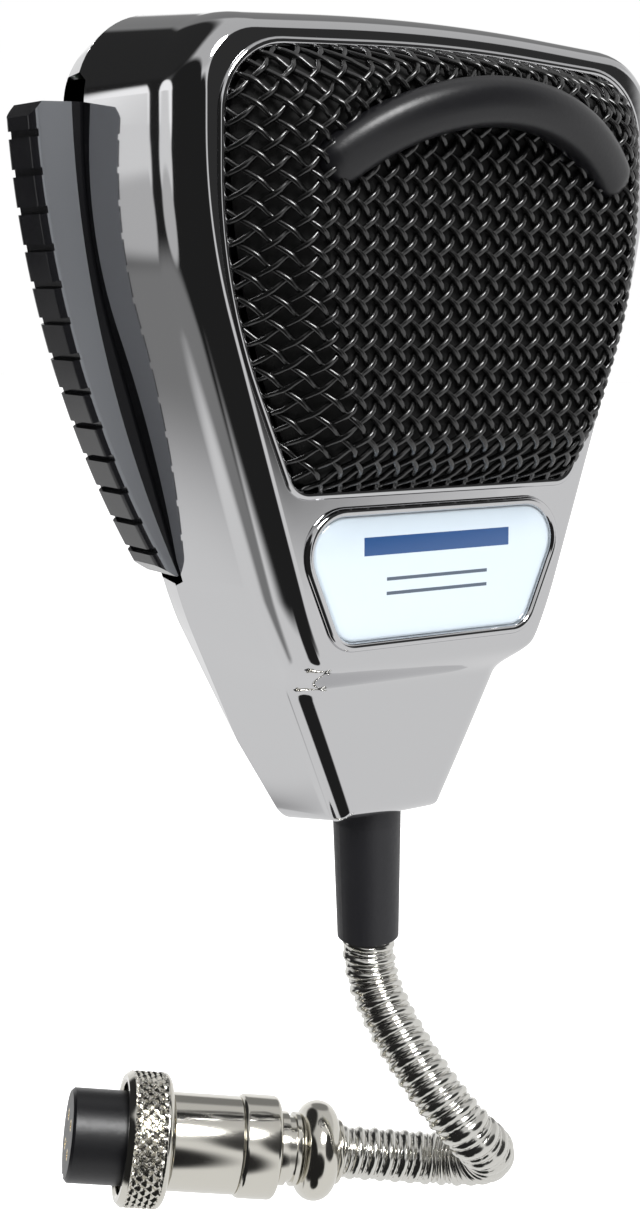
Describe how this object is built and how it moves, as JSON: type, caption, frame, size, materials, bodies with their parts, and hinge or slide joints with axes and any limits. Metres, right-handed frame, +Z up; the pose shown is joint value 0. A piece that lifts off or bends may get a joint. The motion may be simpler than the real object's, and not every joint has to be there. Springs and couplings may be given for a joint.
{
  "type": "hand microphone",
  "caption": "Palm microphone with a domed wire grille and lip bar, a side push-to-talk lever, an armoured cord and a screw-on round plug.",
  "frame": {"origin": "middle of the outer face of the hang-up button, where the microphone hangs against its clip or plate", "axes": "+Z up, towards the top of the microphone, away from the cord; -Y is the way the grille faces and +Y points into the clip behind; -X is the side with the push-to-talk lever"},
  "size_m": [0.0821, 0.0518, 0.1591],
  "materials": {
    "chrome": "polished",
    "nickel": "polished nickel",
    "armour": "polished",
    "black_wire": "gloss",
    "foam": "open cell",
    "matte_black": "dull",
    "gloss_black": "moulded gloss",
    "steel": "plated",
    "label_face": "satin lacquer",
    "rubber": "matte",
    "element": "drawn can",
    "plunger": "acetal",
    "brass": "plated",
    "board": "laminate",
    "cable": "jacket",
    "wire": "insulation"
  },
  "bodies": {
    "housing": {"armoured_cord": "armour", "board_screws": "steel", "board_terminals": "brass", "button_screw": "steel", "button_washer": "steel", "cable_clamp": "steel", "carrier_screws": "steel", "case_screws": "steel", "cord_sleeve": "rubber", "cord_wires": "wire", "element_boot": "rubber", "element_carrier": "matte_black", "element_wires": "wire", "front_shell": "chrome", "grille_liner": "foam", "grille_mesh": "black_wire", "hang_up_button": "chrome", "inner_cable": "cable", "lip_bar": "matte_black", "lip_bar_clips": "steel", "microphone_element": "element", "nameplate_bezel": "chrome", "nameplate_label": "label_face", "pivot_pin": "steel", "plug_back_nut": "nickel", "plug_barrel": "nickel", "plug_bead": "nickel", "plug_collar": "nickel", "plug_contacts": "brass", "plug_core": "cable", "plug_insert": "matte_black", "plug_wires": "wire", "rear_shell": "chrome", "return_spring": "steel", "set_screw": "steel", "switch_contacts": "brass", "switch_cover": "matte_black", "switch_housing": "matte_black", "switch_wires": "wire", "terminal_board": "board"},
    "lever": {"ptt_lever": "gloss_black"},
    "plunger": {"switch_plunger": "plunger"},
    "ring": {"coupling_ring": "nickel"}
  },
  "joints": [
    {"name": "lever_press", "type": "hinge", "parent": "housing", "child": "lever", "pos_m": [-0.02, -0.01045, -0.0225], "axis": [0, 1, 0], "range_deg": [0, 4], "stiffness_Nm_per_rad": 0.8, "springref_deg": -5.73, "deforming": ["return_spring"]},
    {"name": "plunger_press", "type": "slide", "parent": "housing", "child": "plunger", "axis": [1, 0, 0], "range_m": [0, 0.0028]},
    {"name": "ring_spin", "type": "hinge", "parent": "housing", "child": "ring", "pos_m": [-0.02652, -0.00871, -0.10652], "axis": [-0.9023, 0.4083, 0.1381], "continuous": true}
  ],
  "couplings": [
    {"joint": "plunger_press", "follows": "lever_press", "m_per_rad": 0.0385}
  ]
}
